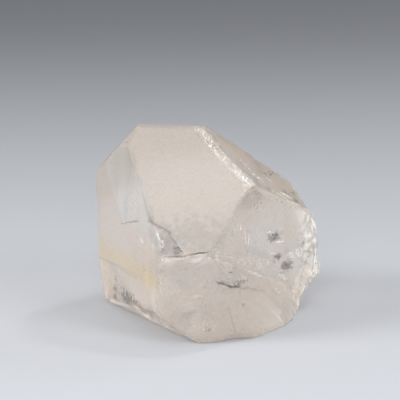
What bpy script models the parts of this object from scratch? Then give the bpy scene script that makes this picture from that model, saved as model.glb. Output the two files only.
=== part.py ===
"""A single danburite crystal: a stubby point, broken from its matrix and lying on the break.

The faces are cut from a block by their Miller indices. The swollen broken root is joined on, and
the growth steps, grooves and shell-shaped chips are cut in. Lengths in the constants are in
millimetres, and MM turns them into metres where a mesh is made.
"""

import math

import bmesh
import bpy
from mathutils import Matrix, Vector, noise

MM = 0.001
NAME = "danburite_crystal"

# Danburite is orthorhombic. Only the ratios of these cell edges matter.
CELL_EDGES = (8.05, 8.77, 7.74)
AXIS_TURN = math.radians(7.35)  # the a axis points forward, turned this far about upright c
CENTRE_HEIGHT = 16.5  # of the point that face distances start from, above the resting face
BLOCK_SIDE = 80.0

# Miller indices of each face and its distance from the centre.
FACES = {
    "top": ((0, 0, 1), 9.20),
    "front dome": ((1, 0, 1), 4.85),
    "back dome": ((-1, 0, 1), 10.48),
    "right dome": ((0, 1, 1), 6.89),
    "left dome": ((0, -5, 4), 12.91),
    "left bevel": ((1, -2, 2), 10.98),
    "right bevel": ((1, 1, 2), 6.19),
    "right prism": ((1, 2, 0), 7.70),
    "left prism": ((1, -2, 0), 9.79),
    "left step": ((4, -6, 1), 8.71),
    "back right prism": ((-1, 2, 0), 17.22),
    "back left prism": ((-1, -2, 0), 17.30),
    "back pinacoid": ((-1, 0, 0), 17.00),
    "back left bevel": ((-2, -1, 2), 15.10),
}

# The front tip is gone. A smooth upright fracture runs down from the crack across the front dome.
FRONT_BREAK_Y = -11.45

# Corners of the swollen, broken lumps that stand proud of the prism.
ROOT_LUMPS = {
    "front root": (
        (-5.5, -11.70, 11.4),
        (-5.6, -11.80, 3.0),
        (-0.7, -11.55, -1.0),
        (0.9, -11.65, -1.0),
        (0.2, -12.50, 5.5),
        (1.7, -11.80, 11.7),
        (3.6, -8.60, 10.2),
        (5.5, -5.80, 8.5),
        (8.8, -1.20, 6.1),
        (11.8, 3.00, 4.2),
        (4.7, -9.60, 3.5),
        (8.3, -8.60, -1.0),
        (9.6, -7.60, -1.0),
        (11.4, -4.80, -1.0),
        (12.8, -1.80, -1.0),
        (13.8, 3.20, -1.0),
        (13.8, 7.00, -1.0),
        (4.0, 9.00, -1.0),
        (-4.0, 4.00, -1.0),
        (-4.0, 2.00, 9.0),
    ),
    "right rim": (
        (15.1, 8.30, 13.5),
        (16.2, 8.00, 12.3),
        (16.95, 7.60, 9.4),
        (16.9, 7.40, 6.6),
        (16.0, 6.20, 4.4),
        (14.2, 4.60, 2.8),
        (13.8, 3.20, -1.0),
        (14.0, 5.80, 8.0),
        (14.4, 6.80, 12.4),
        (15.2, 10.40, 11.0),
        (14.8, 11.60, 5.0),
        (13.5, 12.00, -1.0),
        (8.0, 10.00, 9.0),
        (8.0, 10.00, -1.0),
    ),
}
ROOT_ROUNDING = 0.45  # share of the way each point moves to its neighbours' middle
ROOT_LONGEST_EDGE = 1.9
SPLIT_ROUNDS = 4
ROOT_LUMP_HEIGHT = 0.18
ROOT_LUMP_SIZE = 4.0
RIPPLE_HEIGHT = 0.06
RIPPLE_PITCH = 2.2
RIPPLE_START = (-4.0, -12.0, -3.0)

# Slanting breaks under the crystal: where the break meets the resting plane, the way it faces
# in plan as degrees from +X, and its slope from level.
UNDERCUTS = {
    "front left": ((-6.3, -2.05, 0.0), 211.5, 40.0),
    "left foot": ((-13.2, 9.2, 0.0), 172.0, 58.0),
    "back": ((2.0, 16.2, 0.0), 96.0, 52.0),
    "back left": ((-8.6, 13.4, 0.0), 138.0, 42.0),
    "back right": ((10.6, 13.6, 0.0), 46.0, 48.0),
}
UNDERCUT_SIDE = 26.0
UNDERCUT_DEPTH = 8.0

# Growth steps: face, offset of the step's edge from the face's middle, how far the edge is
# turned from level, and how deep the layer beyond the edge lies.
GROWTH_STEPS = (
    ("left prism", -9.0, 5.0, 0.12),
    ("back dome", 3.4, -3.0, 0.22),
    ("back dome", 7.6, 4.0, 0.30),
    ("back right prism", 2.6, 88.0, 0.20),
    ("back left prism", -2.4, 93.0, 0.25),
    ("back pinacoid", 3.0, 84.0, 0.30),
    ("right dome", -3.2, 8.0, 0.10),
)

# Growth grooves along the prism: face, offset across it, lowest and highest point, width, depth.
GROOVES = (
    ("right prism", -2.3, 8.5, 12.5, 0.50, 0.14),
    ("right prism", -1.4, 9.4, 12.0, 0.30, 0.10),
    ("left step", -0.5, 14.0, 24.0, 0.40, 0.09),
    ("left step", 0.9, 14.0, 24.0, 0.30, 0.08),
    ("back right prism", -1.8, 3.0, 17.0, 0.45, 0.14),
    ("back right prism", -3.9, 2.0, 15.0, 0.35, 0.12),
    ("back right prism", 4.4, 4.0, 14.0, 0.50, 0.16),
    ("back left prism", 1.5, 3.0, 16.0, 0.45, 0.14),
    ("back left prism", 3.4, 2.0, 15.0, 0.35, 0.12),
    ("back pinacoid", -3.6, 4.0, 14.0, 0.50, 0.16),
    ("back pinacoid", -5.4, 5.0, 13.0, 0.35, 0.12),
)

# Shell-shaped chips: a point on the surface, the way it faces, the chip's radius and depth.
CHIPS = {
    "ledge": ((-5.3, -9.9, 13.3), (-0.35, -0.70, 0.62), 2.7, 0.45),
    "ledge corner": ((-7.7, -6.2, 12.4), (-0.80, -0.60, 0.10), 1.1, 0.30),
    "bevel knot": ((5.7, -5.2, 18.9), (0.45, -0.75, 0.45), 0.7, 0.22),
    "bevel end": ((6.9, -3.8, 19.2), (0.60, -0.45, 0.60), 0.6, 0.20),
    "dome edge": ((10.6, 1.6, 17.0), (0.70, -0.30, 0.60), 0.9, 0.20),
    "dome corner": ((14.6, 7.6, 14.3), (0.85, 0.00, 0.50), 1.2, 0.35),
    "rim high": ((16.4, 7.0, 10.6), (0.95, -0.30, 0.05), 1.5, 0.30),
    "rim middle": ((16.3, 7.2, 7.2), (0.93, -0.35, -0.10), 1.9, 0.35),
    "rim low": ((15.2, 6.0, 3.6), (0.80, -0.30, -0.52), 2.2, 0.45),
    "left foot": ((-14.2, 9.6, 3.4), (-0.90, 0.10, -0.42), 2.6, 0.45),
    "right foot": ((13.9, 8.4, 1.2), (0.85, 0.05, -0.52), 2.6, 0.45),
    "rim back": ((15.0, 10.8, 8.4), (0.93, 0.36, 0.00), 3.2, 0.60),
    "front foot": ((4.8, -9.9, 0.1), (0.30, -0.90, -0.30), 1.5, 0.25),
    "front flake": ((-1.5, -11.8, 2.8), (0.00, -1.00, 0.10), 0.8, 0.14),
    "front spall": ((8.6, -5.2, 4.4), (0.78, -0.56, 0.28), 4.2, 0.25),
    "back edge": ((8.6, 15.8, 9.5), (0.60, 0.78, 0.05), 2.9, 0.45),
    "back crest": ((-4.6, 16.4, 14.9), (-0.10, 0.70, 0.70), 2.0, 0.25),
}
CHIP_RIPPLES = 3.0  # rings across a chip
CHIP_RIPPLE_SHARE = 0.05  # of the chip's depth
CUTTER_SPARE = 3.0  # how far a cutter reaches past the surface it cuts


def cell_axes():
    """The a, b and c axes as unit vectors."""
    a = Vector((-math.sin(AXIS_TURN), -math.cos(AXIS_TURN), 0.0))
    b = Vector((math.cos(AXIS_TURN), -math.sin(AXIS_TURN), 0.0))
    c = Vector((0.0, 0.0, 1.0))
    return a, b, c


def face_normal(indices):
    normal = Vector()
    for index, edge, axis in zip(indices, CELL_EDGES, cell_axes()):
        normal += axis * (index / edge)
    return normal.normalized()


def face_frame(face):
    """A matrix whose X runs across the face, Y out of it and Z up it, from the face's middle."""
    indices, distance = FACES[face]
    out = face_normal(indices)
    up = (Vector((0.0, 0.0, 1.0)) - out * out.z).normalized()
    across = out.cross(up)
    frame = Matrix((across, out, up)).transposed().to_4x4()
    centre = Vector((0.0, 0.0, CENTRE_HEIGHT))
    frame.translation = centre + out * distance
    return frame


def add_object(name, bm, collection):
    """Scales the millimetre mesh to metres and gives it an object."""
    bmesh.ops.scale(bm, vec=(MM, MM, MM), verts=bm.verts)
    bmesh.ops.recalc_face_normals(bm, faces=bm.faces)
    mesh = bpy.data.meshes.new(name)
    bm.to_mesh(mesh)
    bm.free()
    obj = bpy.data.objects.new(name, mesh)
    collection.objects.link(obj)
    return obj


def add_cutter(name, bm, collection):
    cutter = add_object(name, bm, collection)
    cutter.hide_render = True
    cutter.display_type = "WIRE"
    return cutter


def box(size, matrix):
    bm = bmesh.new()
    bmesh.ops.create_cube(bm, size=1.0, matrix=matrix @ Matrix.Diagonal((*size, 1.0)))
    return bm


def cut_face(bm, indices, distance):
    """Takes off what lies beyond one crystal face and closes the cut."""
    normal = face_normal(indices)
    centre = Vector((0.0, 0.0, CENTRE_HEIGHT))
    cut = bmesh.ops.bisect_plane(
        bm,
        geom=[*bm.verts, *bm.edges, *bm.faces],
        plane_co=centre + normal * distance,
        plane_no=normal,
        clear_outer=True,
    )
    rim = [item for item in cut["geom_cut"] if isinstance(item, bmesh.types.BMEdge)]
    bmesh.ops.contextual_create(bm, geom=rim)


def crystal(collection):
    bm = box((BLOCK_SIDE, BLOCK_SIDE, BLOCK_SIDE), Matrix.Translation((0.0, 0.0, CENTRE_HEIGHT)))
    for indices, distance in FACES.values():
        cut_face(bm, indices, distance)
    return add_object(NAME, bm, collection)


def front_break(collection):
    """The block that carries away the front tip."""
    depth = BLOCK_SIDE / 2
    place = Matrix.Translation((0.0, FRONT_BREAK_Y - depth / 2, CENTRE_HEIGHT))
    return add_cutter("front_break", box((BLOCK_SIDE, depth, BLOCK_SIDE), place), collection)


def ripple(point):
    """How far the root's surface is lifted at a point by broad lumps and fracture ripples."""
    lumps = noise.noise(point / ROOT_LUMP_SIZE) * ROOT_LUMP_HEIGHT
    reach = (point - Vector(RIPPLE_START)).length
    return lumps + math.sin(reach * math.tau / RIPPLE_PITCH) * RIPPLE_HEIGHT


def split_long_edges(bm, longest):
    bmesh.ops.triangulate(bm, faces=bm.faces)
    for _ in range(SPLIT_ROUNDS):
        long_edges = [edge for edge in bm.edges if edge.calc_length() > longest]
        bmesh.ops.subdivide_edges(bm, edges=long_edges, cuts=1)
        bmesh.ops.triangulate(bm, faces=bm.faces)


def roughen(bm):
    """Rounds a broken shape's edges and gives its sides lumps and ripples."""
    split_long_edges(bm, ROOT_LONGEST_EDGE)
    bmesh.ops.smooth_vert(
        bm,
        verts=bm.verts,
        factor=ROOT_ROUNDING,
        use_axis_x=True,
        use_axis_y=True,
        use_axis_z=True,
    )
    bm.normal_update()
    lifted = [(vertex, vertex.co + vertex.normal * ripple(vertex.co)) for vertex in bm.verts]
    for vertex, place in lifted:
        vertex.co = place


def root_lump(name, corners, collection):
    """The hull of a lump's corners, with its edges rounded and its sides rippled."""
    bm = bmesh.new()
    for corner in corners:
        bm.verts.new(corner)
    hull = bmesh.ops.convex_hull(bm, input=bm.verts)
    spare = {*hull["geom_interior"], *hull["geom_unused"]}
    bmesh.ops.delete(bm, geom=[v for v in spare if isinstance(v, bmesh.types.BMVert)], context="VERTS")
    roughen(bm)
    return add_cutter(name.replace(" ", "_"), bm, collection)


def undercut(name, foot, facing, slope, collection):
    """A rippled slab that breaks the underside away, rising outwards from its foot."""
    half = UNDERCUT_SIDE / 2
    size = (UNDERCUT_SIDE, UNDERCUT_SIDE, UNDERCUT_DEPTH)
    bm = box(size, Matrix.Translation((half - CUTTER_SPARE, 0.0, -UNDERCUT_DEPTH / 2)))
    turned = Matrix.Translation(foot) @ Matrix.Rotation(math.radians(facing), 4, "Z")
    turned = turned @ Matrix.Rotation(math.radians(-slope), 4, "Y")
    bmesh.ops.transform(bm, matrix=turned, verts=bm.verts)
    roughen(bm)
    return add_cutter("undercut_" + name.replace(" ", "_"), bm, collection)


def growth_step(number, face, offset, turn, depth, collection):
    """A slab that lowers one side of a face by the height of a growth layer."""
    reach = BLOCK_SIDE / 2
    slab = (BLOCK_SIDE, 2 * depth, reach)
    place = face_frame(face) @ Matrix.Rotation(math.radians(turn), 4, "Y")
    place = place @ Matrix.Translation((0.0, 0.0, offset + math.copysign(reach / 2, offset)))
    return add_cutter(f"growth_step_{number}", box(slab, place), collection)


def groove(number, face, across, low, high, width, depth, collection):
    """A spindle with a diamond section that leaves a V-shaped groove up a face."""
    bm = bmesh.new()
    place = face_frame(face)
    rise = place.to_3x3() @ Vector((0.0, 0.0, 1.0))
    middle = ((low + high) / 2 - place.translation.z) / rise.z
    place = place @ Matrix.Translation((across, 0.0, middle))
    stretch = Matrix.Diagonal((width / 2, depth, (high - low) / rise.z, 1.0))
    bmesh.ops.create_icosphere(bm, subdivisions=2, radius=1.0, matrix=place @ stretch)
    return add_cutter(f"groove_{number}", bm, collection)


def chip(name, point, outward, radius, depth, collection):
    """A ball whose lowest cap leaves a shallow shell-shaped hollow with faint rings in it."""
    outward = Vector(outward).normalized()
    point = Vector(point)
    ball = (radius**2 + depth**2) / (2 * depth)
    centre = point + outward * (ball - depth)
    side = outward.cross(Vector((0.0, 0.0, 1.0)) if abs(outward.z) < 0.9 else Vector((1.0, 0.0, 0.0)))
    struck = point + outward.cross(side).normalized() * radius
    pitch = 2 * radius / CHIP_RIPPLES
    bm = bmesh.new()
    bmesh.ops.create_icosphere(bm, subdivisions=5, radius=ball, matrix=Matrix.Translation(centre))
    for vertex in bm.verts:
        away = (vertex.co - struck).length
        lift = math.sin(away * math.tau / pitch) * CHIP_RIPPLE_SHARE * depth
        vertex.co += (vertex.co - centre).normalized() * lift
    return add_cutter("chip_" + name.replace(" ", "_"), bm, collection)


def resting_cut(collection):
    """The block below the flat that the crystal rests on."""
    place = Matrix.Translation((0.0, 0.0, -BLOCK_SIDE / 2))
    return add_cutter("resting_cut", box((BLOCK_SIDE * 2, BLOCK_SIDE * 2, BLOCK_SIDE), place), collection)


def boolean(obj, other, operation):
    modifier = obj.modifiers.new(other.name, "BOOLEAN")
    modifier.object = other
    modifier.operation = operation
    modifier.solver = "EXACT"


def danburite_material():
    material = bpy.data.materials.new("danburite")
    material.use_nodes = True
    shader = material.node_tree.nodes["Principled BSDF"]
    shader.inputs["Base Color"].default_value = (0.93, 0.87, 0.83, 1.0)
    shader.inputs["Roughness"].default_value = 0.18
    shader.inputs["Metallic"].default_value = 0.0
    shader.inputs["IOR"].default_value = 1.632
    shader.inputs["Transmission Weight"].default_value = 0.9
    return material


def new_collection(name):
    collection = bpy.data.collections.new(name)
    bpy.context.scene.collection.children.link(collection)
    return collection


def build():
    for obj in list(bpy.data.objects):
        bpy.data.objects.remove(obj, do_unlink=True)
    parts = new_collection(NAME)
    cutters = new_collection("cutters")
    cutters.hide_render = True
    body = crystal(parts)
    body.data.materials.append(danburite_material())
    for number, step in enumerate(GROWTH_STEPS):
        boolean(body, growth_step(number, *step, cutters), "DIFFERENCE")
    for number, line in enumerate(GROOVES):
        boolean(body, groove(number, *line, cutters), "DIFFERENCE")
    boolean(body, front_break(cutters), "DIFFERENCE")
    for name, corners in ROOT_LUMPS.items():
        boolean(body, root_lump(name, corners, cutters), "UNION")
    for name, slant in UNDERCUTS.items():
        boolean(body, undercut(name, *slant, cutters), "DIFFERENCE")
    for name, hollow in CHIPS.items():
        boolean(body, chip(name, *hollow, cutters), "DIFFERENCE")
    boolean(body, resting_cut(cutters), "DIFFERENCE")


build()
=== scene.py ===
"""A danburite crystal point: its floor, its body, its specks and chips, the light and the camera."""

import math

import bmesh
import bpy
import numpy as np
from mathutils import Matrix, Vector
from mathutils.bvhtree import BVHTree


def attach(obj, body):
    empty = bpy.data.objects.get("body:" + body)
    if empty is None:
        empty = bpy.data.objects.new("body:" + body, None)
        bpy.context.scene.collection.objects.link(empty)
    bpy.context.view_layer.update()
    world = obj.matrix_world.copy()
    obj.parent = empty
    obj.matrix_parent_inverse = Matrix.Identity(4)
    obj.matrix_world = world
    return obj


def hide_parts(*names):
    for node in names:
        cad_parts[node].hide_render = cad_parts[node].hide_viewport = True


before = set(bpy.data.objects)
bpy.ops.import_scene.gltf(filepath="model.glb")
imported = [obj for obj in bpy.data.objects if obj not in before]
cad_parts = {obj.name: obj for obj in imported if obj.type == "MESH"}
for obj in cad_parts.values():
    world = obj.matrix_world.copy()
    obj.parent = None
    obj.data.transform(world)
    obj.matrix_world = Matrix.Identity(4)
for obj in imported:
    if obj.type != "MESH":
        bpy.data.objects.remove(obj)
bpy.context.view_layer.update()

# ---- The floor ----
# A sheet of pale matt paper, larger than any view of the stone. It stays nearly white in front and is
# painted darker, to grey at a distance behind: painted shade, for the light falling off away from the
# stone.
FLOOR_CORNERS = ((-3.0, -3.0), (3.0, -3.0), (3.0, 3.0), (-3.0, 3.0))
FLOOR_NEAR = (0.597, 0.605, 0.631)
FLOOR_FAR_PAINTED_SHADE = (0.228, 0.233, 0.247)
FLOOR_SHADE_FADE = (-0.10, 0.33)  # where the fall to grey starts and ends, along Y
FLOOR_ROUGHNESS = 0.9


def add_node(tree, kind, values=None, **settings):
    """A new node with its settings, and with the values of the inputs that nothing feeds."""
    node = tree.nodes.new(kind)
    for setting, value in settings.items():
        setattr(node, setting, value)
    for socket, value in (values or {}).items():
        node.inputs[socket].default_value = value
    return node


def wire(tree, *links):
    """Leads each named output of a node to the named input of another."""
    for source, output, target, entry in links:
        tree.links.new(source.outputs[output], target.inputs[entry])


def new_material(name, values):
    """A material with its node tree, its shader of the given values, and its output."""
    material = bpy.data.materials.new(name)
    material.use_nodes = True
    tree = material.node_tree
    tree.nodes.clear()
    shader = add_node(tree, "ShaderNodeBsdfPrincipled", values)
    output = add_node(tree, "ShaderNodeOutputMaterial")
    wire(tree, (shader, "BSDF", output, "Surface"))
    return material, tree, shader, output


def put_in_scene(name, data):
    obj = bpy.data.objects.new(name, data)
    bpy.context.scene.collection.objects.link(obj)
    return obj


paper, tree, shader, _ = new_material("floor_paper", {"Roughness": FLOOR_ROUGHNESS})
# Painted shade: the paper's colour turns from the near colour to grey along Y, towards the back.
place = add_node(tree, "ShaderNodeTexCoord")
split = add_node(tree, "ShaderNodeSeparateXYZ")
ends = {"From Min": FLOOR_SHADE_FADE[0], "From Max": FLOOR_SHADE_FADE[1]}
fade = add_node(tree, "ShaderNodeMapRange", ends, interpolation_type="SMOOTHSTEP")
colours = {"A": (*FLOOR_NEAR, 1.0), "B": (*FLOOR_FAR_PAINTED_SHADE, 1.0)}
tint = add_node(tree, "ShaderNodeMix", colours, data_type="RGBA")
wire(
    tree,
    (place, "Object", split, "Vector"),
    (split, "Y", fade, "Value"),
    (fade, "Result", tint, "Factor"),
    (tint, "Result", shader, "Base Color"),
)
floor_mesh = bpy.data.meshes.new("floor")
floor_mesh.from_pydata([(x, y, 0.0) for x, y in FLOOR_CORNERS], [], [(0, 1, 2, 3)])
floor = put_in_scene("floor", floor_mesh)
floor.data.materials.append(paper)

# ---- The crystal's body ----
# One piece of clear, pale pink danburite, grown with flat faces and broken off at its foot. The
# solid gives the faces and the breaks. Its skin is cut fine here, to carry the etching, the
# striations, the cracks and the ripples that catch the light.
BODY_EDGE = 0.000262
WELD = 2e-6
HALVINGS = 4
TINY = 1e-18  # what a length of nothing is divided by

CELL_EDGES = (8.05, 8.77, 7.74)
AXIS_TURN = math.radians(7.35)
CENTRE_HEIGHT = 0.0165
CRYSTAL_A = np.array([-math.sin(AXIS_TURN), -math.cos(AXIS_TURN), 0.0])
CRYSTAL_B = np.array([math.cos(AXIS_TURN), -math.sin(AXIS_TURN), 0.0])
CRYSTAL_C = np.array([0.0, 0.0, 1.0])


def crystal_normal(h, k, l):
    """The outward direction of a face, from its Miller indices."""
    a, b, c = CELL_EDGES
    normal = CRYSTAL_A * h / a + CRYSTAL_B * k / b + CRYSTAL_C * l / c
    return normal / np.linalg.norm(normal)


def even_triangles(source, size):
    """Points and triangles of a node's skin, cut afresh into even pieces of about one size."""
    mesh = source.data.copy()
    bm = bmesh.new()
    bm.from_mesh(mesh)
    bmesh.ops.remove_doubles(bm, verts=bm.verts, dist=WELD)
    bm.to_mesh(mesh)
    bm.free()
    blank = put_in_scene("blank", mesh)
    recut = blank.modifiers.new("recut", "REMESH")
    recut.mode = "VOXEL"
    recut.voxel_size = size
    graph = bpy.context.evaluated_depsgraph_get()
    graph.update()
    even = bpy.data.meshes.new_from_object(blank.evaluated_get(graph))
    bpy.data.objects.remove(blank)
    points = np.empty(len(even.vertices) * 3)
    even.vertices.foreach_get("co", points)
    even.calc_loop_triangles()
    triangles = np.empty(len(even.loop_triangles) * 3, np.int64)
    even.loop_triangles.foreach_get("vertices", triangles)
    bpy.data.meshes.remove(even)
    bpy.data.meshes.remove(mesh)
    return points.reshape(-1, 3), triangles.reshape(-1, 3)


def sides_of(triangles):
    """The two ends of the first, then the second, then the third side of each triangle."""
    return np.concatenate([triangles[:, [0, 1]], triangles[:, [1, 2]], triangles[:, [2, 0]]])


# A triangle's corners are 0, 1 and 2 and the middles of its sides are 3, 4 and 5: which corner to
# start from, which sides are halved, and the pieces that come of it.
ONE_HALVED = ((True, False, False), ([0, 3, 2], [3, 1, 2]))
TWO_HALVED = ((True, True, False), ([3, 1, 4], [0, 3, 4], [0, 4, 2]))
ALL_HALVED = ((True, True, True), ([0, 3, 5], [3, 1, 4], [5, 4, 2], [3, 4, 5]))
SPLITS = [(first, *kind) for first in range(3) for kind in (ONE_HALVED, TWO_HALVED)] + [(0, *ALL_HALVED)]


def lengths(vectors):
    return np.linalg.norm(vectors, axis=1)


def split_edges(points, triangles, longest):
    """Halves every edge longer than is wanted at its ends, with the triangles beside it."""
    edges, which = np.unique(np.sort(sides_of(triangles), axis=1), axis=0, return_inverse=True)
    halfway = points[edges].mean(axis=1)
    cut = lengths(points[edges[:, 0]] - points[edges[:, 1]]) > longest[edges].min(axis=1)
    middle = np.full(len(edges), -1)
    middle[cut] = len(points) + np.arange(cut.sum())
    points = np.concatenate([points, halfway[cut]])
    middles = middle[which.reshape(3, -1)].T
    made = [triangles[(middles < 0).all(axis=1)]]
    for first, halved, pieces in SPLITS:
        corners = np.hstack([np.roll(triangles, -first, axis=1), np.roll(middles, -first, axis=1)])
        chosen = ((corners[:, 3:] >= 0) == halved).all(axis=1)
        made += [corners[chosen][:, piece] for piece in pieces]
    return points, np.concatenate(made), bool(cut.any())


def refined(points, triangles, longest):
    """The triangles halved until no edge is longer than is wanted where it lies."""
    wanted = longest(points)
    for _ in range(HALVINGS):
        points, triangles, changed = split_edges(points, triangles, wanted)
        wanted = np.concatenate([wanted, longest(points[len(wanted) :])])
        if not changed:
            break
    return points, triangles


def unit_normals(points, triangles):
    a, b, c = points[triangles[:, 0]], points[triangles[:, 1]], points[triangles[:, 2]]
    normal = np.cross(b - a, c - a)
    return normal / np.maximum(lengths(normal), TINY)[:, None]


# Each crystal face: Miller indices, distance from the centre, and how frosted it is.
CRYSTAL_FACES = {
    "top": ((0, 0, 1), 0.00920, 0.34),
    "front_dome": ((1, 0, 1), 0.00485, 0.46),
    "back_dome": ((-1, 0, 1), 0.01048, 0.34),
    "right_dome": ((0, 1, 1), 0.00689, 0.20),
    "left_dome": ((0, -5, 4), 0.01291, 0.26),
    "left_bevel": ((1, -2, 2), 0.01098, 0.28),
    "right_bevel": ((1, 1, 2), 0.00619, 0.26),
    "right_prism": ((1, 2, 0), 0.00770, 0.26),
    "left_prism": ((1, -2, 0), 0.00979, 0.36),
    "left_step": ((4, -6, 1), 0.00871, 0.30),
    "back_right": ((-1, 2, 0), 0.01722, 0.22),
    "back_left": ((-1, -2, 0), 0.01730, 0.26),
    "back_end": ((-1, 0, 0), 0.01700, 0.26),
    "back_bevel": ((-2, -1, 2), 0.01510, 0.26),
}
BROKEN_FROST = 0.24
BASE_FROST = 0.40
BROKEN = len(CRYSTAL_FACES)
BASE = BROKEN + 1
FRACTURE = BASE + 1

FACE_ALIGNED = math.cos(math.radians(1.2))
EDGE_ALIGNED = math.cos(math.radians(40.0))
BASE_ALIGNED = 0.999
DEEPEST_STEP = 0.0004
FACE_EDGE = 0.00014
NEAR_ENOUGH = 0.00002
BASE_NEAR_ENOUGH = 0.00001


def face_number(name):
    return list(CRYSTAL_FACES).index(name)


def face_regions(points, triangles):
    """Which crystal face each triangle lies on, or BROKEN, or BASE for the resting flat."""
    normal = unit_normals(points, triangles)
    middle = points[triangles].mean(axis=1) - CENTRE_HEIGHT * CRYSTAL_C
    region = np.full(len(triangles), BROKEN)
    nearest = np.full(len(triangles), FACE_EDGE)
    for number, (indices, distance, _) in enumerate(CRYSTAL_FACES.values()):
        out = crystal_normal(*indices)
        depth = distance - middle @ out
        on_face = (normal @ out > FACE_ALIGNED) & (depth < DEEPEST_STEP) & (depth > -NEAR_ENOUGH)
        beside = (normal @ out > EDGE_ALIGNED) & (depth < nearest) & (depth > -NEAR_ENOUGH)
        region[on_face | beside] = number
        nearest[beside] = depth[beside]
        nearest[on_face] = -1.0
    low = middle[:, 2] < BASE_NEAR_ENOUGH - CENTRE_HEIGHT
    region[(normal[:, 2] < -BASE_ALIGNED) & low] = BASE
    return region


NOISE_TURN = np.array(Matrix.Rotation(0.7, 3, Vector((0.36, 0.48, 0.80))))
NOISE_START = 1000.0  # keeps every cell's number above zero
NOISE_GAIN = 1.3
STIR = (374761393, 668265263, 974634777, 1274126177)  # large odd numbers, to mix with
STIR_AGAIN = (1103515245, 12345701)
LOW_BITS = 0x7FFFFFFF


def lattice_values(cells, seed):
    """A random value from -1 to 1 for each cell of a cubic lattice, fixed by the seed."""
    mixed = cells[:, 0] * STIR[0] + cells[:, 1] * STIR[1] + cells[:, 2] * STIR[2] + seed * STIR[3]
    mixed = (mixed ^ (mixed >> 13)) * STIR_AGAIN[0] & LOW_BITS
    mixed = (mixed ^ (mixed >> 15)) * STIR_AGAIN[1] & LOW_BITS
    return (mixed >> 7) / float(LOW_BITS >> 7) * 2.0 - 1.0


def point_noise(points, size, seed):
    """Smooth noise from about -1 to 1 at each point, with lumps of the given size."""
    place = points @ NOISE_TURN / size + NOISE_START
    cell = np.floor(place).astype(np.int64)
    share = place - cell
    share = share * share * (3.0 - 2.0 * share)
    total = np.zeros(len(points))
    for corner in range(8):
        step = np.array([corner & 1, corner >> 1 & 1, corner >> 2])
        weight = np.prod(np.where(step, share, 1.0 - share), axis=1)
        total += weight * lattice_values(cell + step, seed)
    return total * NOISE_GAIN


def layered_noise(points, layers, number=0):
    """Noise added up from layers: the size of the lumps, their height, and the first seed."""
    return sum(point_noise(points, size, seed + number) * height for size, height, seed in layers)


LINE_REACH = 0.004


def line_distance(points, line):
    """The vector to each point from the nearest place on a line of straight pieces."""
    nearest = np.full((len(points), 3), 1.0)
    low, high = line.min(axis=0) - LINE_REACH, line.max(axis=0) + LINE_REACH
    near = np.flatnonzero(((points > low) & (points < high)).all(axis=1))
    for start, end in zip(line[:-1], line[1:]):
        along = end - start
        share = np.clip((points[near] - start) @ along / (along @ along), 0.0, 1.0)
        away = points[near] - (start + share[:, None] * along)
        closer = lengths(away) < lengths(nearest[near])
        nearest[near[closer]] = away[closer]
    return nearest


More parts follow.
